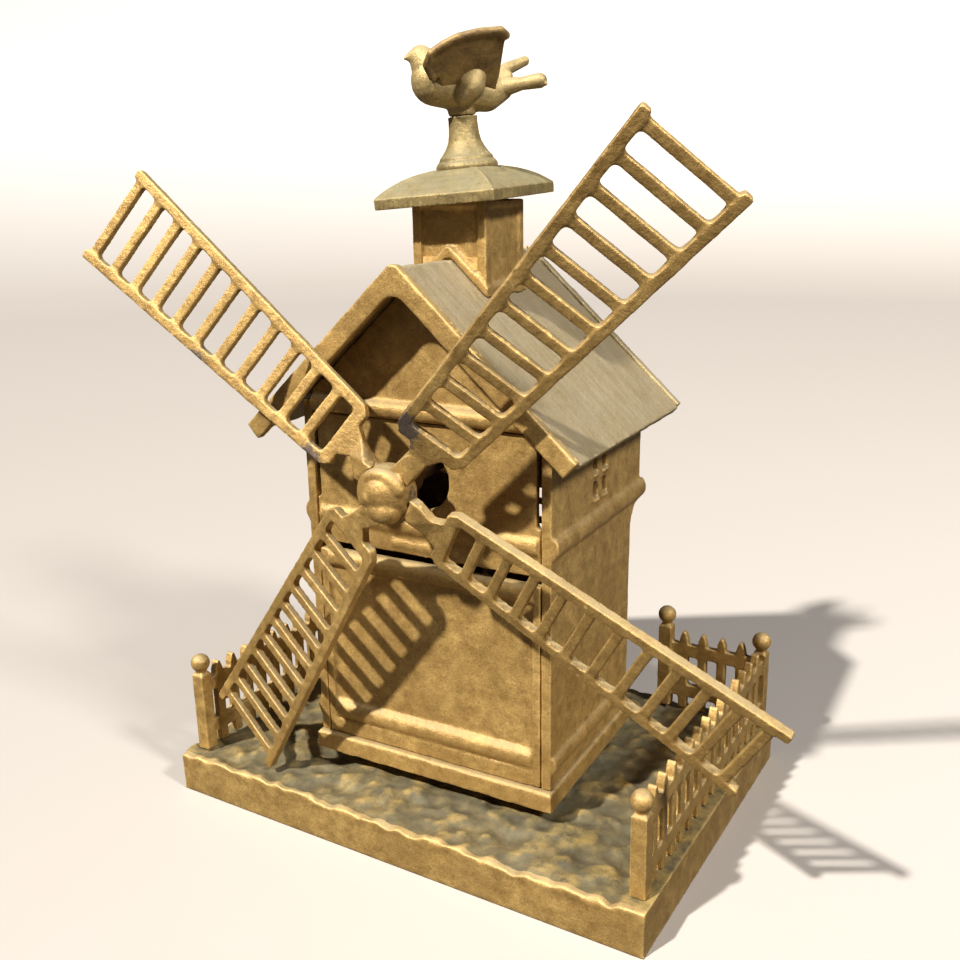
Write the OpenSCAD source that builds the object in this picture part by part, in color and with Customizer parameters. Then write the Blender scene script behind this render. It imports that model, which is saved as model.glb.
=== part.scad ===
// Post-mill money box: a cast-iron windmill house standing on a centre post above a fenced base,
// with four ladder sails on a windshaft, a chimney with a hipped cap, and a dove on a pedestal.
// Origin: centre of the base's underside. +X right, +Y back, +Z up. Millimetres.

/* [Base] */
// Base width, left to right
base_w = 176; // [172:1:184]
// Base depth, front to back
base_d = 122; // [121:1:132]
// Base height, table to ground surface
base_h = 14.5; // [13.5:0.5:14.5]
// Wall thickness of the hollow base casting
base_wall = 4; // [3:0.5:5]

/* [Fence] */
// Distance of the left fence's centre line from the base's side
fence_inset_left = 5.8; // [4:0.2:6]
// Distance of the right fence's centre line from the base's side
fence_inset_right = 4.4; // [4:0.2:6]
// Height of the fence posts above the ground, to the ball's neck
post_h = 29.4; // [26:0.2:30]
// Side of the square posts
post_w = 5; // [4:0.5:5.5]
// Radius of the ball finials
ball_r = 3.4; // [2.8:0.2:3.6]
// Height of the picket tips above the ground
picket_h = 31; // [28:0.5:32]
// Width of one picket
picket_w = 3.4; // [2.8:0.2:3.8]

/* [House] */
// Turn of the house on its post, seen from above
house_turn = 2.4; // [2.4:0.2:5]
// Sideways lean of the house on its post
house_lean = 0.5; // [0:0.1:0.5]
// Height of the plinth's underside
plinth_z = 20.2; // [20.2:0.2:22]
// Thickness of the plinth
plinth_h = 6.8; // [6:0.2:7]
// Width over the side walls
house_w = 86.6; // [84:0.2:88]
// Depth of the lower storey
house_d = 64; // [62:0.5:65]
// Overhang of the upper storey at the back
jetty = 8; // [6:0.5:8]
// Thickness of the side walls
wall_t = 3.6; // [3:0.2:4]

/* [Roof] */
// Height of the ridge
ridge_z = 185.9; // [184:0.5:187]
// Half width of the roof at the eaves
eave_x = 56; // [54:0.5:57]
// Slope of the roof
roof_slope = 42.6; // [42:0.1:43]
// Thickness of the roof castings
roof_t = 2.8; // [2.4:0.2:3]
// Depth of the arched bargeboards, across the slope
barge_depth = 5.4; // [5:0.2:6]

/* [Chimney and cap] */
// Side of the square chimney
chimney_w = 25.6; // [24:0.2:26]
// Height of the cap's lower edge
cap_z = 201.4; // [200:0.2:202]
// Side of the square cap
cap_w = 40.6; // [38:0.2:42]
// Sideways lean of the cap, pedestal and bird on the loose centre rod
cap_lean = 4; // [0:0.5:4]
// Forward lean of the cap, pedestal and bird
cap_nod = 2.4; // [0:0.2:2.4]

/* [Sails] */
// Height of the hub's centre
hub_z = 124; // [124:0.2:126]
// Distance of the hub in front of the house's centre
hub_y = 54.3; // [54:0.1:56]
// Droop of the windshaft below level
shaft_droop = 4.5; // [4:0.1:4.5]
// Radius of the windshaft
shaft_r = 2.6; // [2.2:0.1:3]
// Distance from the shaft's axis to the rail ends
sail_r = 124.2; // [120:0.2:124.2]
// Distance from the shaft's axis to the root bar
root_r = 19; // [18:0.5:21]
// Sail width at the root
root_w = 22.2; // [20:0.2:24]
// Sail width at the tip
tip_w = 33.5; // [30:0.5:34]
// Sail thickness
sail_t = 3.2; // [2.6:0.2:3.4]
// Number of openings in one sail
openings = 11; // [9:1:11]

/* [Hidden] */
eps = 0.01;
fit = 0.06;
$fn = 48;

fence_left_x = -base_w / 2 + fence_inset_left;
fence_right_x = base_w / 2 - fence_inset_right;
fence_front = -base_d / 2 + 7.7;
fence_back = base_d / 2 - 5;
gate_x = 48;
picket_pitch = 7.2;

house_x = 2.5;
house_y = -7;
wall_x = house_w / 2;
inner_x = wall_x - wall_t;
front_y = -house_d / 2;
back_y = house_d / 2;
upper_back_y = back_y + jetty;
floor_z = plinth_z + plinth_h;
belt_z = 106;

tan_s = tan(roof_slope);
cos_s = cos(roof_slope);
sin_s = sin(roof_slope);
roof_front = -44.2;
roof_back = 43.3;
barge_t = 3.2;
roof_v = roof_t / cos_s;
eave_z = ridge_z - eave_x * tan_s;
ridge_flat = 0.9;

rod_r = 3;
cavity_z = base_h - base_wall;
rib_t = 3;

// Each sail was set by hand, so the angles, twists and offsets are a little uneven.
sail_angles = [45.8, 143.4, 235.8, 329.8];
sail_twists = [22.7, 19.4, 13.3, 13.2];
sail_shifts = [-0.5, -1.8, -3.7, -2.2];
sail_lifts = [1.3, -1.7, 1.2, 0.7];
sail_overs = [1.4, 1.4, 3.6, 3.6];
sail_cone = 2.2;
rail_w = 3.4;
rung_w = 3.3;
rung_t = 2.6;
hub_r = 8;

bird_turn = 40;

gold = "#B08D4F";
dark_gold = "#8A6E3E";
iron = "#4A4540";

// ---------- helpers ----------

// Extrudes an X-Z profile from y0 to y1.
module along_y(y0, y1) {
    translate([0, y1, 0]) rotate([90, 0, 0]) linear_extrude(height = y1 - y0) children();
}

// Extrudes a Y-Z profile from x0 to x1.
module along_x(x0, x1) {
    translate([x0, 0, 0]) rotate([90, 0, 90]) linear_extrude(height = x1 - x0) children();
}

// A box between two corners.
module block(low, high) {
    translate(low) cube(high - low);
}

// Points of an arc from angle a0 to a1 about a centre.
function arc(c, r, a0, a1, n = 6) = [for (i = [0:n]) c + r * [cos(a0 + (a1 - a0) * i / n), sin(a0 + (a1 - a0) * i / n)]];

function unit(v) = v / norm(v);

// One rounded corner at b, on the way from a to c.
function round_corner(a, b, c, r, n = 4) =
    let (
        u = unit(a - b),
        w = unit(c - b),
        half = acos(u * w) / 2,
        centre = b + unit(u + w) * r / sin(half),
        p = b + u * r / tan(half) - centre,
        q = b + w * r / tan(half) - centre,
        turn = asin((p[0] * q[1] - p[1] * q[0]) / (r * r))
    )
    [for (i = [0:n]) centre + [
        p[0] * cos(turn * i / n) - p[1] * sin(turn * i / n),
        p[0] * sin(turn * i / n) + p[1] * cos(turn * i / n)
    ]];

// A polygon with every corner rounded.
module rounded_polygon(points, r, n = 4) {
    count = len(points);
    polygon([for (i = [0:count - 1])
        each round_corner(points[(i + count - 1) % count], points[i], points[(i + 1) % count], r, n)]);
}

module house() {
    translate([house_x, house_y, plinth_z]) rotate([0, 0, house_turn]) rotate([0, house_lean, 0])
        translate([0, 0, -plinth_z]) children();
}

module cap_frame() {
    house() translate([0, 0, cap_z]) rotate([cap_nod, -cap_lean, 0]) children();
}

// Sail frame: +Z out of the hub along the windshaft, +X right, +Y up.
module sail_frame() {
    house() translate([3, -hub_y, hub_z]) rotate([90 + shaft_droop, 0, 0]) children();
}

// ---------- base and fences ----------

module ground_dents() {
    dents = [
        [-60, -36, 24], [-30, -52, 20], [4, -50, 26], [38, -47, 22], [66, -30, 26], [62, 2, 20],
        [66, 28, 24], [-62, 4, 22], [-66, 30, 20], [20, 44, 26], [-24, 46, 24], [-8, -38, 18], [48, -56, 9], [22, 30, 18]
    ];
    for (d = dents)
        translate([d[0], d[1], base_h + d[2] - 0.9]) sphere(r = d[2], $fn = 40);
}

module edge_chips() {
    for (i = [0:9])
        translate([-76 + i * 16.3 + 3 * sin(i * 97), -base_d / 2 - 1.2, base_h + 1.6]) sphere(r = 2.6 + 0.4 * sin(i * 131), $fn = 24);
}

module base_plate() {
    color(dark_gold) difference() {
        union() {
            difference() {
                block([-base_w / 2, -base_d / 2, 0], [base_w / 2, base_d / 2, base_h]);
                block([-base_w / 2 + base_wall, -base_d / 2 + base_wall, -1], [base_w / 2 - base_wall, base_d / 2 - base_wall, cavity_z]);
            }
            translate([house_x, house_y, cavity_z - 4]) cylinder(r = 10, h = plinth_z - 0.2 - cavity_z + 4);
            // Stiffening rib under the ground, behind the nut.
            block([-base_w / 2 + 1, -rib_t / 3, 0], [base_w / 2 - 1, rib_t * 2 / 3, cavity_z + 1]);
        }
        translate([house_x, house_y, 0]) cylinder(r = rod_r + fit, h = plinth_z + 1);
        difference() {
            ground_dents();
            translate([house_x, house_y, 0]) cylinder(r = 14, h = 60);
        }
        edge_chips();
    }
}

// Y-Z (or X-Z) profile of one run of pickets between two posts.
module picket_run(from, to) {
    gap = to - from - post_w;
    count = round(gap / picket_pitch);
    pitch = (to - from) / (count + 1);
    low_z = base_h + 4.6;
    top_z = base_h + picket_h - 10;
    difference() {
        union() {
            translate([from, low_z]) square([to - from, 5.2]);
            translate([from, top_z]) square([to - from, 5]);
            for (i = [1:count])
                translate([from + i * pitch, base_h]) polygon([
                    [-picket_w / 2, 0], [picket_w / 2, 0], [picket_w / 2, picket_h - 3], [0.7, picket_h - 0.4], [0, picket_h],
                    [-0.7, picket_h - 0.4], [-picket_w / 2, picket_h - 3]
                ]);
        }
        translate([from - 10, base_h - 1]) square([10 + post_w / 2, 60]);
        translate([to - post_w / 2, base_h - 1]) square([10 + post_w / 2, 60]);
    }
}

module fence_post(x, y, h) {
    w = post_w / 2;
    translate([x, y, base_h]) {
        block([-w, -w, 0], [w, w, h - 1]);
        translate([0, 0, h - 1]) rotate([0, 0, 45]) cylinder(r1 = w * sqrt(2), r2 = w * sqrt(2) - 1.2, h = 1, $fn = 4);
        cylinder(r = 1.6, h = h + 1.5, $fn = 24);
        translate([0, 0, h + ball_r * 0.86 + 0.4]) sphere(r = ball_r, $fn = 32);
    }
}

module side_fence(x, front_h) {
    color(gold) {
        fence_post(x, fence_front, front_h);
        fence_post(x, fence_back, post_h);
        along_x(x - 1.5, x + 1.5) picket_run(fence_front, fence_back);
    }
}

module back_fence(side, corner_x) {
    color(dark_gold) {
        fence_post(side * gate_x, fence_back, post_h + 3.4);
        mirror([side < 0 ? 1 : 0, 0, 0]) along_y(fence_back - 1.5, fence_back + 1.5) picket_run(gate_x, corner_x);
    }
}

module fence_left() {
    side_fence(fence_left_x, post_h);
}

module fence_right() {
    side_fence(fence_right_x, post_h - 2.8);
}

module fence_back_left() {
    back_fence(-1, -fence_left_x);
}

module fence_back_right() {
    back_fence(1, fence_right_x);
}

// ---------- house ----------

module plinth() {
    color(gold) house() difference() {
        union() {
            block([-wall_x - 1, front_y - 1.8, plinth_z], [wall_x + 1, back_y + 1.8, floor_z - 0.8]);
            block([-wall_x - 0.4, front_y - 1.2, floor_z - 0.8 - eps], [wall_x + 0.4, back_y + 1.2, floor_z]);
        }
        translate([0, 0, plinth_z - 1]) cylinder(r = rod_r + 0.4, h = plinth_h + 2);
    }
}

// Y-Z outline of a side wall, with a curved bracket under the overhang at the back.
module wall_outline() {
    r = jetty;
    polygon(concat(
        [[front_y, floor_z], [back_y, floor_z]],
        arc([back_y + r, belt_z - 5 - r], r, 180, 90, 8),
        [[upper_back_y, belt_z - 5], [upper_back_y, 142.2], [front_y, 142.2]]
    ));
}

module window_holes() {
    for (row = [0, 1])
        for (side = [-1, 1])
            translate([(front_y + upper_back_y) / 2 + side * 3.6, 114.9 + row * 8.1]) square([3.4, 5], center = true);
}

module side_wall(side) {
    outer = side * wall_x;
    inner = side * inner_x;
    color(gold) house() {
        difference() {
            along_x(min(outer, inner), max(outer, inner)) wall_outline();
            along_x(min(outer, inner) - 5, max(outer, inner) + 5) window_holes();
        }
        // Belt and foot mouldings stand a little proud of the wall.
        intersection() {
            union() {
                translate([outer - side * 2.4, 0, belt_z - 0.6]) rotate([90, 0, 0]) cylinder(r = 4.4, h = 200, center = true, $fn = 40);
                translate([outer - side * 2.4, 0, floor_z + 8.4]) rotate([90, 0, 0]) cylinder(r = 4.1, h = 200, center = true, $fn = 40);
            }
            union() {
                block([min(outer, outer + side * 6), front_y + 0.6, belt_z - 8], [max(outer, outer + side * 6), upper_back_y + 1.4, belt_z + 8]);
                block([min(outer, outer + side * 6), front_y + 0.6, floor_z], [max(outer, outer + side * 6), back_y + 1, floor_z + 14]);
            }
        }
        for (row = [0, 1])
            for (i = [-1, 1])
                translate([outer + side * 0.4, (front_y + upper_back_y) / 2 + i * 3.6, 111.8 + row * 8.1]) cube([1, 4, 0.9], center = true);
    }
}

module side_wall_left() {
    side_wall(-1);
}

module side_wall_right() {
    side_wall(1);
}

// A roll moulding along X at height z, standing proud of the plane y.
module roll(y, z, r, proud, half) {
    intersection() {
        translate([-half, y + r - proud, z]) rotate([0, 90, 0]) cylinder(r = r, h = 2 * half, $fn = 40);
        block([-half, y - proud - 1, z - r - 1], [half, y + 1.5, z + r + 1]);
    }
}

module front_lower_panel() {
    field_y = front_y + 1.4;
    half = inner_x - 3;
    color(gold) house() {
        difference() {
            block([-inner_x, front_y, floor_z], [inner_x, front_y + 3.4, 93.6]);
            block([-half, front_y - 1, floor_z + 5.2], [half, field_y, 95]);
        }
        roll(field_y, floor_z + 9, 4, 2.4, half);
        roll(field_y, 90.4, 3.2, 2.4, half);
    }
}

module front_upper_panel() {
    color(gold) house() {
        difference() {
            block([-inner_x, front_y + 0.4, 96], [inner_x, front_y + 3.2, 138.6]);
            translate([0, 0, 121]) rotate([90, 0, 0]) cylinder(r = 9.2, h = 100, center = true);
            for (side = [-1, 1])
                block([side > 0 ? inner_x - 1.3 : -inner_x - 1, front_y - 1, 111], [side > 0 ? inner_x + 1 : -inner_x + 1.3, front_y + 5, 137]);
        }
        roll(front_y + 0.4, belt_z - 0.6, 4, 1.4, inner_x - 1);
        roll(front_y + 0.4, 99.2, 3, 0.7, 12);
    }
}

// X-Z outline under the roof, above height z.
module under_roof(z, half) {
    top = ridge_z - roof_v - 0.05;
    z_edge = top - half * tan_s;
    if (z_edge > z)
        polygon([[-half, z], [half, z], [half, z_edge], [0, top], [-half, z_edge]]);
    else
        polygon([[-(top - z) / tan_s, z], [(top - z) / tan_s, z], [0, top]]);
}

module front_gable() {
    color(gold) house() {
        along_y(front_y + 0.4, front_y + 3.2) under_roof(138.6, inner_x);
        roll(front_y + 0.4, 141.6, 3, 2.6, inner_x - 0.6);
    }
}

module back_lower_panel() {
    color(gold) house() difference() {
        block([-inner_x, back_y - 3.4, floor_z], [inner_x, back_y - 0.4, 104.5]);
        for (col = [-1.5:1:1.5])
            for (row = [0:2])
                translate([col * 7.2, back_y, 88.2 + row * 7]) cube([5, 20, 4.6], center = true);
        block([-inner_x + 6, back_y - 1.2, floor_z + 10], [inner_x - 6, back_y + 1, 80]);
    }
}

module back_upper_panel() {
    color(gold) house() difference() {
        block([-inner_x, upper_back_y - 3.4, belt_z - 5], [inner_x, upper_back_y - 0.4, 138.6]);
        for (col = [-0.5, 0.5])
            for (row = [0, 1])
                translate([col * 7.2, upper_back_y, 114.9 + row * 8.1]) cube([3.4, 20, 5], center = true);
    }
}

module back_gable() {
    color(gold) house() {
        along_y(upper_back_y - 3.4, upper_back_y - 0.4) under_roof(138.6, inner_x);
    }
}

// Chevron of the roof: depth d across the slope, raised by lift.
module roof_chevron(d, lift) {
    top = ridge_z + lift / cos_s;
    z_end = eave_z + lift / cos_s;
    intersection() {
        polygon([
            [-eave_x, z_end], [0, top], [eave_x, z_end],
            [eave_x - (d + lift) * sin_s, z_end - (d + lift) * cos_s], [0, top - (d + lift) / cos_s],
            [-eave_x + (d + lift) * sin_s, z_end - (d + lift) * cos_s]
        ]);
        translate([-100, 0]) square([200, ridge_z - ridge_flat + lift]);
    }
}

module roof_half(side) {
    color(dark_gold) house() difference() {
        along_y(roof_front + barge_t, roof_back - barge_t) intersection() {
            roof_chevron(roof_t, 0);
            translate([side > 0 ? 0.05 : -100.05, 0]) square([100, 300]);
        }
        translate([0, 0, 150]) cylinder(r = rod_r + 2.4, h = 60);
        // Coin slot in the left slope.
        if (side < 0)
            translate([-30, 0, ridge_z - 30 * tan_s]) rotate([0, -roof_slope, 0]) cube([3, 32, 20], center = true);
    }
}

module roof_left() {
    roof_half(-1);
}

module roof_right() {
    roof_half(1);
}

module bargeboard_outline() {
    inner_top = ridge_z - barge_depth / cos_s;
    arch_r = 5;
    difference() {
        roof_chevron(barge_depth, 0.7);
        translate([0, inner_top - arch_r / cos_s]) circle(r = arch_r, $fn = 40);
    }
    // Fills the sharp crown above the round arch.
    difference() {
        polygon([[-7, inner_top - 7 * tan_s], [0, inner_top + 1.5], [7, inner_top - 7 * tan_s]]);
        translate([0, inner_top - arch_r / cos_s]) circle(r = arch_r, $fn = 40);
        polygon([
            [-arch_r * sin_s, inner_top - arch_r / cos_s + arch_r * cos_s],
            [0, inner_top - arch_r / cos_s], [arch_r * sin_s, inner_top - arch_r / cos_s + arch_r * cos_s],
            [20, inner_top - arch_r / cos_s + arch_r * cos_s - (20 - arch_r * sin_s) * tan_s],
            [-20, inner_top - arch_r / cos_s + arch_r * cos_s - (20 - arch_r * sin_s) * tan_s]
        ]);
    }
}

// Half a bargeboard, from y0 to y0 + barge_t; side is -1 for the left.
module bargeboard(side, y0) {
    color(gold) house() along_y(y0, y0 + barge_t) intersection() {
        bargeboard_outline();
        translate([side > 0 ? 0.02 : -100.02, 0]) square([100, 300]);
    }
}

module bargeboard_front_left() {
    bargeboard(-1, roof_front);
}

module bargeboard_front_right() {
    bargeboard(1, roof_front);
}

module bargeboard_back_left() {
    bargeboard(-1, roof_back - barge_t);
}

module bargeboard_back_right() {
    bargeboard(1, roof_back - barge_t);
}

// Crossbar between the side walls, with the long boss that carries the windshaft.
module shaft_crossbar() {
    color(dark_gold) difference() {
        union() {
            house() block([-inner_x, -20, 122.4], [inner_x, -16, 131.4]);
            sail_frame() translate([0, 0, -(hub_y - 14) / cos(shaft_droop)]) cylinder(r = 6, h = 8);
        }
        sail_frame() translate([0, 0, -80]) cylinder(r = shaft_r + fit, h = 80);
    }
}

// ---------- chimney, cap, pedestal and bird ----------

// X-Z section of everything below the roof's upper faces.
module roof_section() {
    flat_x = ridge_flat / tan_s;
    polygon([
        [-40, ridge_z - 40 * tan_s], [-flat_x, ridge_z - ridge_flat], [flat_x, ridge_z - ridge_flat],
        [40, ridge_z - 40 * tan_s], [40, 100], [-40, 100]
    ]);
}

module chimney() {
    half = chimney_w / 2;
    recess = half - 3.3;
    lip = 0.8;
    color(gold) house() difference() {
        union() {
            difference() {
                block([-half, -half, ridge_z - 16], [half, half, cap_z + 0.6]);
                for (turn = [0:90:270])
                    rotate([0, 0, turn]) block([-recess, -half - 1, ridge_z - 20], [recess, -half + 1, cap_z - 1.6]);
            }
            // Foot lip that follows the roof.
            intersection() {
                block([-half - lip, -half - lip, ridge_z - 20], [half + lip, half + lip, ridge_z + 8]);
                along_y(-30, 30) difference() {
                    translate([0, 2.6 / cos_s]) roof_section();
                    translate([0, -4]) roof_section();
                }
            }
        }
        block([-half + 3, -half + 3, ridge_z - 20], [half - 3, half - 3, cap_z + 2]);
        along_y(-30, 30) translate([0, 0.05]) roof_section();
    }
}

module chimney_cap() {
    half = cap_w / 2;
    root2 = sqrt(2);
    fascia = 3.7;
    steps = [[half - 0.4, fascia], [half - 3, 5.7], [half - 6.8, 7.6], [half - 10.6, 9], [half - 13, 9.9]];
    teeth = 23;
    color(dark_gold) cap_frame() translate([0, -1.3, 0]) difference() {
        union() {
            block([-half, -half, 0], [half, half, fascia]);
            for (i = [0:3])
                translate([0, 0, steps[i][1] - eps]) rotate([0, 0, 45])
                    cylinder(r1 = steps[i][0] * root2, r2 = steps[i + 1][0] * root2, h = steps[i + 1][1] - steps[i][1] + eps, $fn = 4);
        }
        block([-chimney_w / 2 - 2.6, -chimney_w / 2 - 2.6, -1], [chimney_w / 2 + 2.6, chimney_w / 2 + 2.6, 2.6]);
        translate([0, 0, -1]) cylinder(r = rod_r + 3.4, h = 20);
        // Fine notches along the lower edge.
        for (turn = [0:90:270])
            rotate([0, 0, turn])
                for (i = [0:teeth - 1])
                    translate([(i - (teeth - 1) / 2) * cap_w / (teeth + 0.5), -half, 0]) cube([0.7, 1, 1.8], center = true);
    }
}

module pedestal() {
    color(dark_gold) cap_frame() translate([1, -0.6, 9.9]) difference() {
        rotate_extrude() polygon(concat(
            [[0, 0], [9.2, 0]],
            arc([8.4, 1], 1, -50, 80, 5),
            [[7.4, 2.6]],
            arc([13.2, 7.6], 8.2, 216, 180, 6),
            [[4.3, 12.4], [4.3, 13], [5, 13.6], [4.6, 14.6], [0, 14.6]]
        ));
        translate([-2, 0.6, -1]) cylinder(r = rod_r + 1.2, h = 4.6);
    }
}

// Bird frame: head along -X, tail along +X, feet at the top of the pedestal.
module bird_frame() {
    cap_frame() translate([1, -0.6, 24.5]) rotate([0, 0, bird_turn]) children();
}

module ball(p, r) {
    translate(p) sphere(r = r, $fn = 30);
}

module bird_solid() {
    hull() {
        ball([-6.2, 0, 9.6], 7.6);
        ball([1, 0, 7.6], 7.2);
    }
    hull() {
        ball([1, 0, 7.6], 7.2);
        ball([9.5, 0, 6.8], 4.8);
        ball([15, 0, 7.6], 2.2);
    }
    hull() {
        ball([-8, 0, 12.5], 5.6);
        ball([-10.6, 0, 18.6], 3.7);
    }
    hull() {
        ball([-11.4, 0, 18.4], 2.8);
        ball([-16, 0, 17.6], 0.7);
    }
    ball([1.5, -4.6, 6.8], 4.6);
    ball([1.5, 4.6, 6.8], 4.6);
    cylinder(r = 4.6, h = 4, $fn = 30);
}

module bird_body() {
    color(gold) difference() {
        bird_frame() bird_solid();
        bird_frame() translate([0, 0, -10]) cylinder(r = 12, h = 10);
    }
}

// Forked tail, twisted about the bird's length.
module bird_tail() {
    color(gold) difference() {
        bird_frame() translate([12, 0, 7.6]) rotate([26, -6, 0]) linear_extrude(height = 2.2, center = true) polygon([
            [0, -2.4], [6, -4.6], [12.6, -7.4], [13.8, -5.8], [12.9, -4.2], [6.6, -0.6], [6.6, 0.6],
            [12.9, 4.2], [13.8, 5.8], [12.6, 7.4], [6, 4.6], [0, 2.4]
        ]);
        bird_frame() bird_solid();
    }
}

// Raised wing with a scalloped trailing edge; side is -1 for the bird's left.
module bird_wing(side) {
    color(gold) difference() {
        bird_frame() translate([0, side * 3.4, 10.4]) rotate([side * 52, 0, 0]) linear_extrude(height = 2, center = true)
            mirror([0, side < 0 ? 1 : 0]) polygon(concat(
                [[-3, 0.5], [-7.6, 5], [-9, 8]],
                arc([-4.4, 9.4], 4.8, 170, 110, 5),
                [[0, 14.9], [8, 16.4], [12.6, 17]],
                arc([12.6, 15.2], 1.8, 90, 0, 4),
                [[13.6, 8], [11, 1.5], [7, -1]]
            ));
        bird_frame() bird_solid();
    }
}

module bird_wing_left() {
    bird_wing(-1);
}

module bird_wing_right() {
    bird_wing(1);
}

// Long rod that clamps base, house, chimney, cap and pedestal together.
module centre_rod() {
    color(iron) translate([house_x, house_y, 2.4]) cylinder(r = rod_r, h = 212.6 - 2.4);
}

module rod_nut() {
    color(iron) translate([house_x, house_y, 0]) difference() {
        union() {
            translate([0, 0, 3]) cylinder(r = 5.2, h = 3, $fn = 6);
            translate([0, 0, 6]) cylinder(r = 5, h = cavity_z - 4.1 - 6);
        }
        translate([0, 0, 0]) cylinder(r = rod_r + 0.02, h = 20);
    }
}

// ---------- sails ----------

module windshaft() {
    color(iron) sail_frame() {
        translate([0, 0, -46]) cylinder(r = shaft_r, h = 44);
        translate([0, 0, -12]) cylinder(r = 4.2, h = 10);
    }
}

module shaft_keeper() {
    color(iron) sail_frame() translate([0, 0, -44.5]) difference() {
        cylinder(r = 5, h = 3.2);
        translate([0, 0, -1]) cylinder(r = shaft_r + 0.02, h = 6);
    }
}

// A hand-dressed knob: one fat lobe in each quarter round a dimpled middle.
module sail_hub() {
    lobes = [[20, 4.1, 4.1, 3], [112, 4.2, 3.6, 3.4], [190, 4.3, 3.8, 3.2], [292, 4, 4.6, 3.6]];
    color(gold) sail_frame() difference() {
        union() {
            translate([0, 0, -2]) cylinder(r = hub_r, h = 4.6);
            translate([0, 0, -1.4]) sphere(r = hub_r);
            for (lobe = lobes)
                rotate([0, 0, lobe[0]]) translate([lobe[1], 0, lobe[3]]) sphere(r = lobe[2], $fn = 32);
        }
        translate([0.4, 0.8, 9.4]) sphere(r = 3.2, $fn = 24);
        translate([-0.6, -2.6, 8.6]) sphere(r = 1.7, $fn = 24);
        translate([0, 0, -22]) cylinder(r = 20, h = 20);
    }
}

// Width of a sail at distance r from the shaft.
function sail_width(r) = root_w + (tip_w - root_w) * (r - root_r) / (sail_r - root_r);

// The two rails and the root bar.
module sail_rails() {
    for (side = [-1, 1])
        rounded_polygon([
            [root_r, side * (root_w / 2 - rail_w)], [sail_r, side * (tip_w / 2 - rail_w)],
            [sail_r, side * tip_w / 2], [root_r + 2.6, side * sail_width(root_r + 2.6) / 2],
            [root_r, side * (root_w / 2 - 2)]
        ], 0.9);
    translate([root_r, -root_w / 2 + 2.4]) square([4.4, root_w - 4.8]);
}

// The flat sail between its rails, from the root bar to the last rung; the rails run on past it by over.
module sail_web(over) {
    last = sail_r - over;
    polygon([
        [root_r + 1, -root_w / 2 + 1.2], [last, -sail_width(last) / 2 + 1.2],
        [last, sail_width(last) / 2 - 1.2], [root_r + 1, root_w / 2 - 1.2]
    ]);
}

module sail_openings(over) {
    first = root_r + 4.4;
    last = sail_r - over - rung_w;
    gap = (last - first - (openings - 1) * rung_w) / openings;
    for (i = [0:openings - 1]) {
        a = first + i * (gap + rung_w);
        b = a + gap;
        rounded_polygon([
            [a, -sail_width(a) / 2 + rail_w], [b, -sail_width(b) / 2 + rail_w],
            [b, sail_width(b) / 2 - rail_w], [a, sail_width(a) / 2 - rail_w]
        ], 1.3);
    }
}

// Sets one sail's own twist, cone and offset about its arm.
module sail_set(i) {
    translate([0, sail_shifts[i], sail_lifts[i]]) rotate([0, sail_cone, 0]) rotate([sail_twists[i], 0, 0]) children();
}

module sail(i) {
    recess = (sail_t - rung_t) / 2;
    color(gold) difference() {
        sail_frame() rotate([0, 0, sail_angles[i]]) {
            sail_set(i) translate([0, 0, -sail_t]) {
                linear_extrude(height = sail_t) sail_rails();
                translate([0, 0, recess]) linear_extrude(height = rung_t) difference() {
                    sail_web(sail_overs[i]);
                    sail_openings(sail_overs[i]);
                }
            }
            // Necked arm from the hub, flaring into the root bar.
            hull() {
                translate([6, -3.4, -1.8]) cube([4, 6.8, 4]);
                sail_set(i) translate([root_r - 4, -3, -sail_t]) cube([1, 6, sail_t]);
            }
            hull() {
                sail_set(i) translate([root_r - 4, -3, -sail_t]) cube([1, 6, sail_t]);
                sail_set(i) translate([root_r + 0.4, -5.6, -sail_t]) cube([2, 11.2, sail_t]);
            }
        }
        sail_frame() translate([0, 0, -3]) cylinder(r = hub_r + 0.02, h = 20);
    }
}

module sail_upper_right() {
    sail(0);
}

module sail_upper_left() {
    sail(1);
}

module sail_lower_left() {
    sail(2);
}

module sail_lower_right() {
    sail(3);
}

// ---------- output ----------

base_plate();
fence_left();
fence_right();
fence_back_left();
fence_back_right();
plinth();
side_wall_left();
side_wall_right();
front_lower_panel();
front_upper_panel();
front_gable();
back_lower_panel();
back_upper_panel();
back_gable();
roof_left();
roof_right();
bargeboard_front_left();
bargeboard_front_right();
bargeboard_back_left();
bargeboard_back_right();
shaft_crossbar();
chimney();
chimney_cap();
pedestal();
bird_body();
bird_tail();
bird_wing_left();
bird_wing_right();
centre_rod();
rod_nut();
windshaft();
shaft_keeper();
sail_hub();
sail_upper_right();
sail_upper_left();
sail_lower_left();
sail_lower_right();
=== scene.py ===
"""Looks for the cast-iron windmill money box.

Every CAD node stays where the frame has it. Modifiers round its edges and roughen its faces as sand
casting does. The dove, pedestal, cap, hub, front bargeboards and ground are modelled here in the CAD
pieces' places. The scene is in metres; shapes are given in millimetres.
"""

import math

import bpy
import bmesh
import numpy as np
from mathutils import Matrix, Vector, noise


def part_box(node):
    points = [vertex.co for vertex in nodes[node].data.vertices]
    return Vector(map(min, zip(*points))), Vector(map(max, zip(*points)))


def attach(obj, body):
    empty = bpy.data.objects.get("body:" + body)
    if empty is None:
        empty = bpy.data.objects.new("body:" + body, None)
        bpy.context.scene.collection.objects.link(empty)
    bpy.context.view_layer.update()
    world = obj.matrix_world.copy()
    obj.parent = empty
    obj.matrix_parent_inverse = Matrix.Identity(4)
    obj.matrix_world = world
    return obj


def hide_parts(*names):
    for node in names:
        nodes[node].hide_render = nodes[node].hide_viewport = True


MM = 0.001

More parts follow.
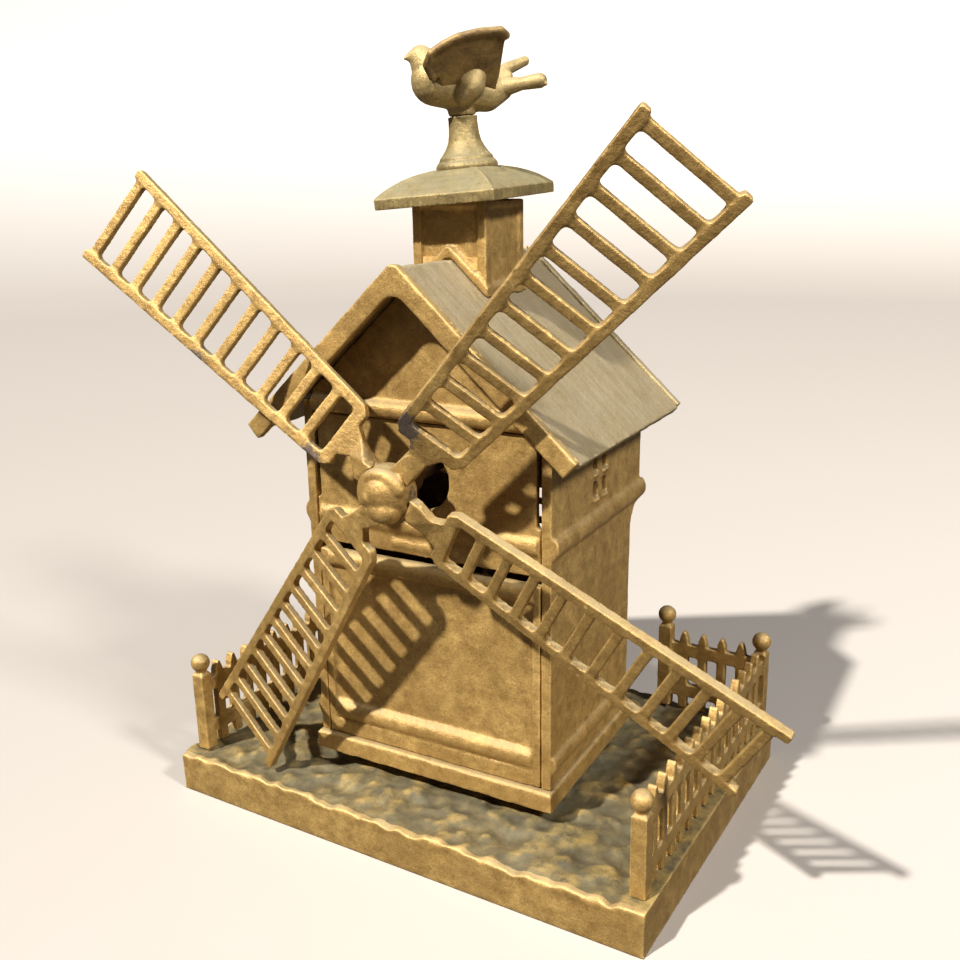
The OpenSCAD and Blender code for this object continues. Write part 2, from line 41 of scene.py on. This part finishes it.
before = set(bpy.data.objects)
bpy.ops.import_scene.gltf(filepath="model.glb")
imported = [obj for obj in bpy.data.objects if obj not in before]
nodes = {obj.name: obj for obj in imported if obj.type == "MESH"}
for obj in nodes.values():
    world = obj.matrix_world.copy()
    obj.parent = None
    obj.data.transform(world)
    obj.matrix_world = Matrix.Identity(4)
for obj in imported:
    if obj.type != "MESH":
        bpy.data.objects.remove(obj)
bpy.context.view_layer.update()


# ---------- materials ----------

class Shader:
    """A small helper that adds nodes to one material and links them."""

    def __init__(self, name):
        self.material = bpy.data.materials.new(name)
        self.material.use_nodes = True
        self.tree = self.material.node_tree
        self.principled = self.tree.nodes["Principled BSDF"]
        self.place = self.add("ShaderNodeTexCoord").outputs["Object"]

    def add(self, kind, **settings):
        node = self.tree.nodes.new(kind)
        for key, value in settings.items():
            setattr(node, key, value)
        return node

    def link(self, source, target):
        self.tree.links.new(source, target)

    def noise(self, size_mm, detail=4, roughness=0.6, stretch=None):
        """Noise whose features are about size_mm across."""
        node = self.add("ShaderNodeTexNoise")
        node.inputs["Scale"].default_value = 1.0 / (size_mm * MM)
        node.inputs["Detail"].default_value = detail
        node.inputs["Roughness"].default_value = roughness
        place = self.place
        if stretch:
            mapping = self.add("ShaderNodeMapping")
            mapping.inputs["Scale"].default_value = stretch
            self.link(place, mapping.inputs["Vector"])
            place = mapping.outputs["Vector"]
        self.link(place, node.inputs["Vector"])
        return node.outputs["Fac"]

    def ramp(self, source, *stops):
        """A colour ramp; each stop is (position, grey value or RGB)."""
        node = self.add("ShaderNodeValToRGB")
        ramp = node.color_ramp
        while len(ramp.elements) < len(stops):
            ramp.elements.new(0.5)
        for element, (position, colour) in zip(ramp.elements, stops):
            rgb = (colour,) * 3 if isinstance(colour, (int, float)) else colour
            element.position = position
            element.color = (*rgb, 1)
        self.link(source, node.inputs["Fac"])
        return node.outputs["Color"]

    def mix(self, factor, a, b, blend="MIX"):
        node = self.add("ShaderNodeMix", data_type="RGBA", blend_type=blend)
        self.put(factor, node.inputs["Factor"])
        self.put(a, node.inputs[6])
        self.put(b, node.inputs[7])
        return node.outputs[2]

    def coat(self, colour, over, mask, amount):
        """Lays one colour over another where the mask is bright, by at most the amount."""
        return self.mix(self.maths("MULTIPLY", mask, amount), colour, over)

    def maths(self, operation, a, b=0.0):
        node = self.add("ShaderNodeMath", operation=operation)
        self.put(a, node.inputs[0])
        self.put(b, node.inputs[1])
        return node.outputs[0]

    def put(self, value, socket):
        if isinstance(value, bpy.types.NodeSocket):
            self.link(value, socket)
        elif isinstance(value, tuple):
            socket.default_value = (*value, 1)
        else:
            socket.default_value = value

    def bump(self, height, distance_mm, strength=1.0, normal=None):
        node = self.add("ShaderNodeBump")
        node.inputs["Distance"].default_value = distance_mm * MM
        node.inputs["Strength"].default_value = strength
        self.link(height, node.inputs["Height"])
        if normal:
            self.link(normal, node.inputs["Normal"])
        return node.outputs["Normal"]


def painted_iron(name, bright, deep, dust, dust_amount, metallic, lumps_mm=2.4, streaks=0.0, scars=(),
                 highlight_heights=None):
    """Bronze paint on rough iron: mottled, dusty on top, lighter on edges from wear and a painted
    highlight, darker in hollows from grime and painted shade.

    Each scar is a place and a radius in mm, round which the paint has come off down to grey iron. The
    highlight heights are the heights in mm between which lumps turn from dull to a painted highlight.
    """
    s = Shader(name)
    patches = s.noise(30, detail=3)
    mottle = s.noise(5, detail=6, roughness=0.72)
    grain = s.noise(0.5, detail=4, roughness=0.7)
    colour = s.mix(s.ramp(mottle, (0.34, 0.0), (0.66, 1.0)), deep, bright)
    colour = s.coat(colour, deep, s.ramp(patches, (0.35, 0.0), (0.65, 1.0)), 0.6)
    speckle = s.ramp(grain, (0.30, (0.40, 0.33, 0.26)), (0.50, 0.95), (0.70, (1.4, 1.38, 1.3)))
    colour = s.mix(0.5, colour, speckle, "MULTIPLY")

    normal = s.add("ShaderNodeSeparateXYZ")
    geometry = s.add("ShaderNodeNewGeometry")
    s.link(geometry.outputs["Normal"], normal.inputs[0])
    upward = s.ramp(normal.outputs["Z"], (0.35, 0.0), (0.85, 1.0))
    dusty = s.maths("MULTIPLY", upward, s.ramp(s.noise(9, detail=5), (0.25, 0.45), (0.6, 1.0)))
    if streaks:
        run = s.ramp(s.noise(1.7, detail=4, stretch=(0.1, 1.0, 0.1)), (0.35, 0.55), (0.65, 1.15))
        colour = s.mix(streaks, colour, run, "MULTIPLY")
        dust = s.mix(streaks, dust, run, "MULTIPLY")
    colour = s.coat(colour, dust, dusty, dust_amount)

    edge = geometry.outputs["Pointiness"]
    # Darker in hollows, found by Pointiness: partly grime, partly painted shade.
    hollow = s.ramp(edge, (0.41, 1.0), (0.49, 0.0))
    colour = s.coat(colour, GRIME_AND_SHADE, hollow, 0.85)
    # Lighter on edges, found by Pointiness: partly wear, partly painted highlight.
    wear_and_highlight = s.maths("MULTIPLY", s.ramp(edge, (0.515, 0.0), (0.59, 1.0)),
                   s.ramp(mottle, (0.35, 0.3), (0.6, 1.0)))
    rubbed_and_highlit = tuple(min(1.0, c * 1.5 + 0.04) for c in bright)
    colour = s.coat(colour, rubbed_and_highlit, wear_and_highlight, 0.75)
    # Painted highlight on the ground's lumps, brighter towards their tops.
    if highlight_heights:
        height = s.add("ShaderNodeSeparateXYZ")
        s.link(s.place, height.inputs[0])
        low, high = highlight_heights
        lift = s.maths("DIVIDE", s.maths("SUBTRACT", height.outputs["Z"], low * MM), (high - low) * MM)
        painted_highlight = s.maths("MULTIPLY", s.ramp(lift, (0.3, 0.0), (1.0, 1.0)),
                        s.ramp(mottle, (0.36, 0.0), (0.7, 1.0)))
        colour = s.coat(colour, bright, painted_highlight, 0.8)
    specks = s.ramp(s.noise(1.3, detail=3), (0.62, 0.0), (0.72, 1.0))
    colour = s.coat(colour, GRIME_AND_SHADE, specks, 0.3)
    for place, radius in scars:
        away = s.add("ShaderNodeVectorMath", operation="DISTANCE")
        s.link(s.place, away.inputs[0])
        away.inputs[1].default_value = [c * MM for c in place]
        near = s.ramp(s.maths("DIVIDE", away.outputs["Value"], radius * MM), (0.4, 1.0), (1.0, 0.0))
        ragged = s.maths("MULTIPLY", near, s.noise(1.8, detail=5, roughness=0.7))
        bare = s.ramp(ragged, (0.24, 0.0), (0.36, 1.0))
        colour = s.coat(colour, s.mix(grain, (0.018, 0.014, 0.016), (0.16, 0.14, 0.13)), bare, 0.9)
    s.link(colour, s.principled.inputs["Base Color"])

    s.principled.inputs["Metallic"].default_value = metallic
    rough = s.ramp(mottle, (0.3, 0.36), (0.7, 0.56))
    s.link(s.mix(dusty, rough, (0.7, 0.7, 0.7)), s.principled.inputs["Roughness"])
    coarse = s.bump(s.noise(lumps_mm, detail=6, roughness=0.7), 0.4, 0.7)
    s.link(s.bump(grain, 0.14, 0.8, coarse), s.principled.inputs["Normal"])
    return s.material


def bare_iron():
    """Dark, handled iron for the rods and fixings."""
    s = Shader("bare iron")
    rust = s.ramp(s.noise(4, detail=6, roughness=0.7), (0.4, 0.0), (0.7, 1.0))
    s.link(s.mix(rust, (0.035, 0.030, 0.028), (0.11, 0.052, 0.028)), s.principled.inputs["Base Color"])
    s.principled.inputs["Metallic"].default_value = 0.7
    s.link(s.ramp(s.noise(2, detail=4), (0.3, 0.38), (0.7, 0.62)), s.principled.inputs["Roughness"])
    s.link(s.bump(s.noise(0.9, detail=5), 0.15, 0.6), s.principled.inputs["Normal"])
    return s.material


def floor_paper():
    """Pale paper; where it curves up out of the light it glows a little, so that every side is plain."""
    s = Shader("pale floor")
    height = s.add("ShaderNodeSeparateXYZ")
    s.link(s.place, height.inputs[0])
    glow = s.ramp(height.outputs["Z"], (0.02, 0.0), (0.35, 1.0))
    s.link(s.maths("MULTIPLY", glow, 0.55), s.principled.inputs["Emission Strength"])
    s.principled.inputs["Emission Color"].default_value = (1.0, 0.97, 0.95, 1)
    s.principled.inputs["Base Color"].default_value = (0.42, 0.395, 0.375, 1)
    s.principled.inputs["Roughness"].default_value = 0.75
    return s.material


GOLD = (0.63, 0.42, 0.145)
BROWN_GOLD = (0.33, 0.20, 0.062)
PALE_GOLD = (0.58, 0.43, 0.18)
DULL_GOLD = (0.33, 0.25, 0.115)
DUST = (0.38, 0.325, 0.195)
# Near-black brown: grime for the specks, and painted shade in the hollows.
GRIME_AND_SHADE = (0.045, 0.024, 0.012)
# Places on the sails, at rest, where the paint is gone; each with its radius.
SCARS = (((14, -65, 145), 13), ((-19, -61, 130), 9), ((13, -60, 124), 6), ((-58, -62, 156), 10))
# The heights between which the ground's lumps turn from dull to a painted highlight.
HIGHLIGHT_HEIGHTS = (13.4, 14.6)

gold = painted_iron("gold paint", GOLD, BROWN_GOLD, DUST, 0.6, metallic=0.45)
sail_gold = painted_iron("sail paint", GOLD, BROWN_GOLD, DUST, 0.7, metallic=0.5, scars=SCARS)
# The wings get a darker paint: painted shade, standing in for the shade they are in.
wing_shade_paint = painted_iron("wing paint with painted shade", (0.42, 0.28, 0.10), (0.13, 0.08, 0.032), DUST, 0.5, metallic=0.4)
pale_gold = painted_iron("pale gold paint", PALE_GOLD, DULL_GOLD, (0.42, 0.37, 0.24), 0.5, metallic=0.4)
roof_gold = painted_iron("roof paint", (0.36, 0.29, 0.15), DULL_GOLD, (0.345, 0.295, 0.205), 0.9,
                         metallic=0.35, streaks=0.3)
cap_gold = painted_iron("cap paint", (0.43, 0.32, 0.13), (0.20, 0.155, 0.066), (0.255, 0.245, 0.165), 0.6,
                        metallic=0.35, streaks=0.2)
ground_paint = painted_iron("ground paint", (0.52, 0.37, 0.12), (0.085, 0.066, 0.03), (0.125, 0.118, 0.08),
                            0.75, metallic=0.4, lumps_mm=6, highlight_heights=HIGHLIGHT_HEIGHTS)
iron = bare_iron()


# ---------- cast surfaces ----------

def cloud_texture(size_mm, depth):
    texture = bpy.data.textures.new(f"casting {size_mm}", "CLOUDS")
    texture.noise_scale = size_mm * MM
    texture.noise_depth = depth
    return texture


SAND = cloud_texture(1.1, 2)
WAVES = cloud_texture(7.0, 2)


def roughen(piece, texture, depth_mm):
    """Presses the surface inwards by up to depth_mm."""
    press = piece.modifiers.new(texture.name, "DISPLACE")
    press.texture = texture
    press.texture_coords = "LOCAL"
    press.direction = "NORMAL"
    press.strength = depth_mm * MM
    press.mid_level = 1.0


def recast(piece, voxel_mm, soften):
    """Rebuilds a piece's skin in voxels and rounds its edges with so many passes."""
    skin = piece.modifiers.new("skin", "REMESH")
    skin.mode = "VOXEL"
    skin.voxel_size = voxel_mm * MM
    skin.use_smooth_shade = True
    soft = piece.modifiers.new("soft", "SMOOTH")
    soft.factor = 0.5
    soft.iterations = soften


def cast(node, voxel_mm, material, soften=5, sand=0.10, waves=0.22):
    """Gives a CAD node the soft edges and uneven skin of a sand casting."""
    piece = nodes[node]
    recast(piece, voxel_mm, soften)
    roughen(piece, WAVES, waves)
    roughen(piece, SAND, sand)
    paint(piece, material)


def paint(piece, material):
    piece.data.materials.clear()
    piece.data.materials.append(material)


def new_piece(name, data, material):
    """Puts a mesh in the scene as an object of its own."""
    piece = bpy.data.objects.new(name, data)
    bpy.context.scene.collection.objects.link(piece)
    paint(piece, material)
    return piece


def mesh_data(name, mesh):
    data = bpy.data.meshes.new(name)
    mesh.to_mesh(data)
    mesh.free()
    return data


WALLS = ("plinth", "side_wall_left", "side_wall_right", "front_lower_panel", "front_upper_panel",
         "front_gable", "back_lower_panel", "back_upper_panel", "back_gable", "shaft_crossbar", "chimney")
SAILS = ("sail_upper_right", "sail_upper_left", "sail_lower_left", "sail_lower_right")
FENCES = ("fence_left", "fence_right", "fence_back_left", "fence_back_right")
ROOF = ("roof_left", "roof_right", "bargeboard_back_left", "bargeboard_back_right")

for name in WALLS:
    cast(name, 0.5, gold)
for name in SAILS:
    cast(name, 0.4, sail_gold, soften=6)
for name in FENCES:
    cast(name, 0.4, gold, soften=4, sand=0.08, waves=0.15)
for name in ROOF:
    cast(name, 0.5, roof_gold)
for name in ("centre_rod", "rod_nut", "windshaft", "shaft_keeper"):
    paint(nodes[name], iron)


# ---------- bird, cap, hub and bargeboards ----------

def move(x, y, z):
    return Matrix.Translation(Vector((x, y, z)))


def turn(degrees, axis):
    return Matrix.Rotation(math.radians(degrees), 4, axis)


# Frames in millimetres, as the CAD has them. The house is turned and leans on its post, at post_top.
post_top = 20.2
HOUSE = move(2.5, -7, post_top) @ turn(2.4, "Z") @ turn(0.5, "Y") @ move(0, 0, -post_top)
# The cap sits askew, with its underside at z = 0.
CAP = HOUSE @ move(0, 0, 201.4) @ turn(-4, "Y") @ turn(2.4, "X")
# The pedestal stands on the cap, and the dove on it: head along -X, tail along +X, feet at z = 0.
PEDESTAL = CAP @ move(1, -0.6, 9.9)
BIRD = CAP @ move(1, -0.6, 24.5) @ turn(40, "Z")
# +Z out of the hub along the windshaft, +X right, +Y up.
SHAFT = HOUSE @ move(3, -54.3, 124) @ turn(94.5, "X")


def ball(mesh, centre, radius):
    bmesh.ops.create_icosphere(mesh, subdivisions=3, radius=radius, matrix=move(*centre))


def chain(mesh, *stops, step=0.7):
    """Balls whose centres and radii run smoothly along the stops (x, y, z, r)."""
    for a, b in zip(stops, stops[1:]):
        a, b = np.array(a, float), np.array(b, float)
        count = max(1, int(np.linalg.norm(b[:3] - a[:3]) / step))
        for i in range(count + 1):
            x, y, z, r = a + (b - a) * i / count
            ball(mesh, (x, y, z), r)


def turned(profile, steps, join):
    """A shape turned about Z from a profile of (radius, height)."""
    mesh = bmesh.new()
    points = [mesh.verts.new((r, 0, z)) for r, z in profile]
    for a, b in zip(points, points[1:]):
        mesh.edges.new((a, b))
    bmesh.ops.spin(mesh, geom=mesh.verts[:] + mesh.edges[:], axis=(0, 0, 1), cent=(0, 0, 0), steps=steps,
                   angle=2 * math.pi)
    bmesh.ops.remove_doubles(mesh, verts=mesh.verts, dist=join)
    bmesh.ops.recalc_face_normals(mesh, faces=mesh.faces[:])
    return mesh


def modelled(name, mesh, place, body, node, material, voxel_mm, soften):
    """Fuses the balls and plates of a mesh, in a frame's millimetres, into one cast piece."""
    mesh.transform(Matrix.Scale(MM, 4) @ place)
    piece = new_piece(name, mesh_data(name, mesh), material)
    recast(piece, voxel_mm, soften)
    roughen(piece, WAVES, 0.12)
    roughen(piece, SAND, 0.06)
    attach(piece, body)
    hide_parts(*([node] if isinstance(node, str) else node))


def bird_body():
    """Breast, back, neck and head, a short beak, a foot and the thighs."""
    mesh = bmesh.new()
    chain(mesh, (-7.2, 0, 10.4, 7.2), (0, 0, 8.2, 7.0), (7.6, 0, 6.0, 5.6), (12.4, 0, 6.6, 3.6))
    chain(mesh, (-7.4, 0, 12.4, 6.2), (-10.6, 0, 17.1, 3.6))
    chain(mesh, (-12.2, 0, 17.4, 2.4), (-13.9, 0, 17.5, 1.3), (-15.3, 0, 17.2, 0.6))
    chain(mesh, (0, 0, 2, 4.4), (0, 0, 0.6, 4.0))
    # Thighs that show below the wings.
    for side in (-1, 1):
        chain(mesh, (0.2, side * 5.8, 5.8, 3.4), (2.2, side * 6.8, 8.0, 4.2), (3.4, side * 6.8, 10.0, 3.5))
    for vertex in mesh.verts:
        vertex.co.z = max(vertex.co.z, 0.02)
    modelled("bird_body_cast", mesh, BIRD, "house", "bird_body", pale_gold, 0.3, 8)


def bird_tail():
    """A forked tail, twisted so that its far prong stands higher."""
    mesh = bmesh.new()
    chain(mesh, (12, -1, 6.8, 3.0), (18, -3.2, 7.4, 2.0), (23.2, -4.8, 7.7, 2.3))
    chain(mesh, (12, 1.5, 9.0, 2.8), (15.4, 3.4, 12.4, 2.0), (21.8, 6.0, 14.4, 1.6))
    chain(mesh, (12, 0, 8, 2.8), (14.6, 0.6, 10, 2.0))
    for i in range(4):
        ball(mesh, (24.6, -6.1 + i * 0.85, 6.6 + i * 0.75), 0.75)
    modelled("bird_tail_cast", mesh, BIRD, "house", "bird_tail", pale_gold, 0.3, 5)


def bird_wing(side):
    """A raised wing with a thick rolled leading edge and a scalloped lower edge."""
    leading = [(-9.0, 11.4), (-10.8, 14.5), (-9.5, 17.2), (-6.1, 19.0), (-1.7, 20.6), (4.2, 21.4),
               (10.1, 21.4), (11.7, 20.2)]
    trailing = [(11.3, 16), (10.6, 9.7), (9.7, 6.1), (6.6, 7.4), (3.0, 8.4), (-1.6, 8.0), (-3.4, 7.0),
                (-5.0, 6.8), (-6.6, 8.2), (-7.3, 10.4), (-8.0, 11.2)]
    outline = leading + trailing
    half_thickness = 0.9

    def spread(x, z, offset=0.0):
        """A point of the wing, which leans outwards as it rises."""
        return (x, side * (4.2 + (z - 6) * 0.78 + offset), z)

    mesh = bmesh.new()
    near = [mesh.verts.new(spread(x, z, half_thickness)) for x, z in outline]
    far = [mesh.verts.new(spread(x, z, -half_thickness)) for x, z in outline]
    mesh.faces.new(near)
    mesh.faces.new(far[::-1])
    for i in range(len(outline)):
        k = (i + 1) % len(outline)
        mesh.faces.new((near[k], near[i], far[i], far[k]))
    bmesh.ops.triangulate(mesh, faces=mesh.faces[:])
    bmesh.ops.recalc_face_normals(mesh, faces=mesh.faces[:])
    for (x0, z0), (x1, z1) in zip(leading, leading[1:]):
        chain(mesh, (*spread(x0, z0 - 0.6), 1.35), (*spread(x1, z1 - 0.6), 1.35))
    # The root, where the wing joins the back.
    chain(mesh, (-5, side * 4.4, 11, 2.6), (4, side * 4.2, 9.5, 2.6), step=1.2)
    name = "left" if side < 0 else "right"
    modelled(f"bird_wing_cast_{name}", mesh, BIRD, "house", f"bird_wing_{name}", wing_shade_paint, 0.3, 5)


def pedestal():
    """A bell-shaped stand with a bead above its foot, turned about its own axis."""
    profile = [(0, -0.6), (9.3, -0.6), (9.5, 0.5), (8.9, 1.6), (8.2, 2.1), (8.1, 2.9), (7.2, 3.8),
               (6.0, 5.5), (5.1, 7.4), (4.7, 9.4), (4.5, 11.6), (4.4, 13.4), (4.6, 14.6), (0, 14.6)]
    mesh = turned(profile, steps=64, join=1e-3)
    modelled("pedestal_cast", mesh, PEDESTAL, "house", "pedestal", cap_gold, 0.3, 4)


def cap():
    """A pillowed square cap with ribs on its hips, a raised seat for the pedestal and a toothed edge."""
    half, fascia, top = 20.3, 3.9, 9.9
    count = 96
    mesh = bmesh.new()

    def height(x, y):
        """The top surface, as far out (m, 0 to 1) and as near a hip as the point is."""
        m = min(1.0, max(abs(x), abs(y)) / half)
        rise = fascia - 0.7 + (top - fascia + 0.4) * (1 - m ** 2.6)
        rib = 0.75 * math.exp(-((abs(x) - abs(y)) / 1.3) ** 2) * min(1.0, m * 3) * (1 - m ** 6)
        sag = -0.35 * math.sin(math.pi * m) * (1 - math.exp(-((abs(x) - abs(y)) / 4) ** 2))
        seat = min(1.0, max(0.0, (11.5 - math.hypot(x - 1, y - 0.7)) / 2.5))
        return max(rise + rib + sag, seat * (top - 0.1) + (1 - seat) * (rise + rib + sag))

    def edge(t):
        return -half + 2 * half * t / count

    grid = [[mesh.verts.new((edge(i), edge(j), height(edge(i), edge(j)))) for j in range(count + 1)]
            for i in range(count + 1)]
    for i in range(count):
        for j in range(count):
            mesh.faces.new((grid[i][j], grid[i + 1][j], grid[i + 1][j + 1], grid[i][j + 1]))
    border = [grid[i][0] for i in range(count)] + [grid[count][j] for j in range(count)]
    border += [grid[i][count] for i in range(count, 0, -1)] + [grid[0][j] for j in range(count, 0, -1)]
    # Teeth: every other pair of points along the lower edge is drawn in a little.
    lower = []
    for k, vertex in enumerate(border):
        draw = 0.985 if k % 4 < 1 else 1.0
        lower.append(mesh.verts.new((vertex.co.x * draw, vertex.co.y * draw, 0)))
    for k in range(len(border)):
        n = (k + 1) % len(border)
        mesh.faces.new((border[n], border[k], lower[k], lower[n]))
    mesh.faces.new(lower)
    bmesh.ops.triangulate(mesh, faces=[f for f in mesh.faces if len(f.verts) > 4])
    bmesh.ops.recalc_face_normals(mesh, faces=mesh.faces[:])
    place = CAP @ move(0, -1.3, 0)
    modelled("chimney_cap_cast", mesh, place, "house", "chimney_cap", cap_gold, 0.32, 3)


def hub():
    """A hand-dressed knob, and fillets that run out under the roots of the arms."""
    mesh = bmesh.new()
    ball(mesh, (0, 0, -0.8), 8.1)
    # A rim round the upper half, a heavy drop below and a small bead between them.
    rim_radius = 5.9
    rim = [(rim_radius * math.cos(a), rim_radius * math.sin(a), 3.0, 2.3) for a in
           (math.radians(degrees) for degrees in range(20, 206, 15))]
    chain(mesh, *rim)
    chain(mesh, (-0.6, -4.2, 3.6, 3.9), (1.6, -4.4, 3.4, 4.2))
    ball(mesh, (-2.8, -0.6, 4.2), 3.0)
    # Angle, sideways shift and lift of each arm, as the sails are set.
    arms = ((45.8, -0.5, 1.3), (143.4, -1.8, -1.7), (235.8, -3.7, 1.2), (329.8, -2.2, 0.7))
    for angle, shift, lift in arms:
        stops = [(5, 0, -1.4, 3.5), (9, shift * 0.5, lift * 0.5 - 1.2, 2.9),
                 (12.5, shift * 0.9, lift - 1.9, 2.3)]
        chain(mesh, *((*(turn(angle, "Z") @ Vector(stop[:3])), stop[3]) for stop in stops))
    back = -4.6
    for vertex in mesh.verts:
        vertex.co.z = max(vertex.co.z, back)
    modelled("hub_cast", mesh, SHAFT, "sails", "sail_hub", sail_gold, 0.35, 8)


def front_bargeboards():
    """Both halves of the front bargeboard as the one arch that they look like."""
    names = ("bargeboard_front_left", "bargeboard_front_right")
    mesh = bmesh.new()
    for name in names:
        half = nodes[name].data.copy()
        half.transform(nodes[name].matrix_world)
        mesh.from_mesh(half)
    # A key in the crown closes the hairline between the halves.
    crown = HOUSE @ move(0, -42.6, 181.9) @ Matrix.Diagonal((1.2, 2.6, 3.8, 1))
    mesh.transform(Matrix.Scale(1 / MM, 4))
    bmesh.ops.create_cube(mesh, size=1, matrix=crown)
    modelled("bargeboard_front_cast", mesh, Matrix.Identity(4), "house", names, gold, 0.45, 5)


def chimney_foot():
    """Fills the chimney behind its foot, where it sits astride the ridge."""
    mesh = bmesh.new()
    bmesh.ops.create_cube(mesh, size=1, matrix=move(0, 0, 180.5) @ Matrix.Diagonal((23, 24.2, 10, 1)))
    mesh.transform(Matrix.Scale(MM, 4) @ HOUSE)
    piece = new_piece("chimney_foot", mesh_data("chimney_foot", mesh), gold)
    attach(piece, "house")


bird_body()
bird_tail()
bird_wing(-1)
bird_wing(1)
pedestal()
cap()
hub()
front_bargeboards()
chimney_foot()


# ---------- ground ----------

def lumpy_ground():
    """The base casting again, with its top pressed into lumps of earth and a chipped front lip."""
    source = nodes["base_plate"]
    recast(source, 0.8, soften=3)
    settled = source.evaluated_get(bpy.context.evaluated_depsgraph_get())
    mesh = bpy.data.meshes.new_from_object(settled)
    source.modifiers.clear()
    low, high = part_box("base_plate")
    top = 14.5 * MM
    for vertex in mesh.vertices:
        p = vertex.co
        up = min(1.0, max(0.0, (p.z - (top - 3.5 * MM)) / (2.5 * MM)))
        if up > 0 and p.z < top + 1 * MM:
            lumps = 0.5 * noise.fractal(p * 70, 1.0, 2.0, 3) + 0.9 * noise.noise(p * 190)
            ripples = noise.noise(p * 420)
            # The strip outside the right fence was left smooth.
            strip = min(1.0, max(0.0, (high.x - 7.5 * MM - p.x) / (3 * MM)))
            press = (0.8 + 1.7 * lumps) * strip + 0.22 * ripples
            p.z -= up * min(2.4, max(0.0, press)) * MM
        side = 1 - up
        if side > 0 and p.z > 1 * MM:
            p.x -= math.copysign(0.16 * MM * (0.5 + noise.noise(p * 160)), p.x) * side
            p.y -= math.copysign(0.16 * MM * (0.5 + noise.noise(p * 150)), p.y) * side
    ground = new_piece("ground_casting", mesh, ground_paint)
    mesh.materials.append(gold)
    for face in mesh.polygons:
        face.use_smooth = True
        on_top = face.normal.z > 0.55 and face.center.z > top - 4.5 * MM
        inside_lip = face.center.y > low.y + 2.2 * MM
        face.material_index = 0 if on_top and inside_lip else 1
    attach(ground, "base")
    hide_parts("base_plate")


lumpy_ground()


# ---------- floor, light and camera ----------

def floor():
    """A pale floor that curves up into a backdrop on every side."""
    reach, rise = 1.6, 1.1
    profile = [(0.0, 0.0), (reach, 0.0)]
    profile += [(reach + rise * math.sin(a), rise * (1 - math.cos(a))) for a in np.radians(range(6, 91, 6))]
    profile.append((reach + rise, rise + 0.5))
    data = mesh_data("floor", turned(profile, steps=96, join=1e-5))
    for face in data.polygons:
        face.use_smooth = True
    piece = new_piece("floor", data, floor_paper())
    # The floor is seen, but it throws no light back at the iron and its rim keeps none off.
    piece.visible_diffuse = False
    piece.visible_glossy = False
    piece.visible_shadow = False


def light(name, kind, toward, distance, strength, colour):
    """A light that shines at the middle of the house from the direction toward."""
    aim = Vector((0, -0.01, 0.11))
    data = bpy.data.lights.new(name, kind)
    data.energy = strength
    data.color = colour
    piece = bpy.data.objects.new(name, data)
    direction = Vector(toward).normalized()
    piece.location = aim + direction * distance
    piece.rotation_mode = "QUATERNION"
    piece.rotation_quaternion = direction.to_track_quat("Z", "Y")
    bpy.context.scene.collection.objects.link(piece)
    return data


floor()
key = light("key", "SUN", (-0.35, -1.0, 1.15), 2, 7.0, (1.0, 0.95, 0.87))
key.angle = math.radians(2.2)
side = light("right", "AREA", (1.0, -0.25, 0.85), 1.3, 18, (1.0, 0.96, 0.90))
side.shape = "SQUARE"
side.size = 0.16

world = bpy.data.worlds.new("room")
world.use_nodes = True
world.node_tree.nodes["Background"].inputs["Color"].default_value = (1.0, 0.88, 0.80, 1)
world.node_tree.nodes["Background"].inputs["Strength"].default_value = 0.12
bpy.context.scene.world = world

camera_data = bpy.data.cameras.new("camera")
camera_data.lens = 39.22
camera_data.sensor_width = 36
camera_data.clip_start = 0.01
camera_data.clip_end = 20
camera = bpy.data.objects.new("camera", camera_data)
yaw, down, roll = 31.41, 15.83, -1.30
aim = turn(yaw, "Z") @ turn(90 - down, "X") @ turn(roll, "Z")
camera.matrix_world = move(0.1775, -0.2879, 0.2065) @ aim
bpy.context.scene.collection.objects.link(camera)
bpy.context.scene.camera = camera
bpy.context.scene.view_settings.view_transform = "Standard"
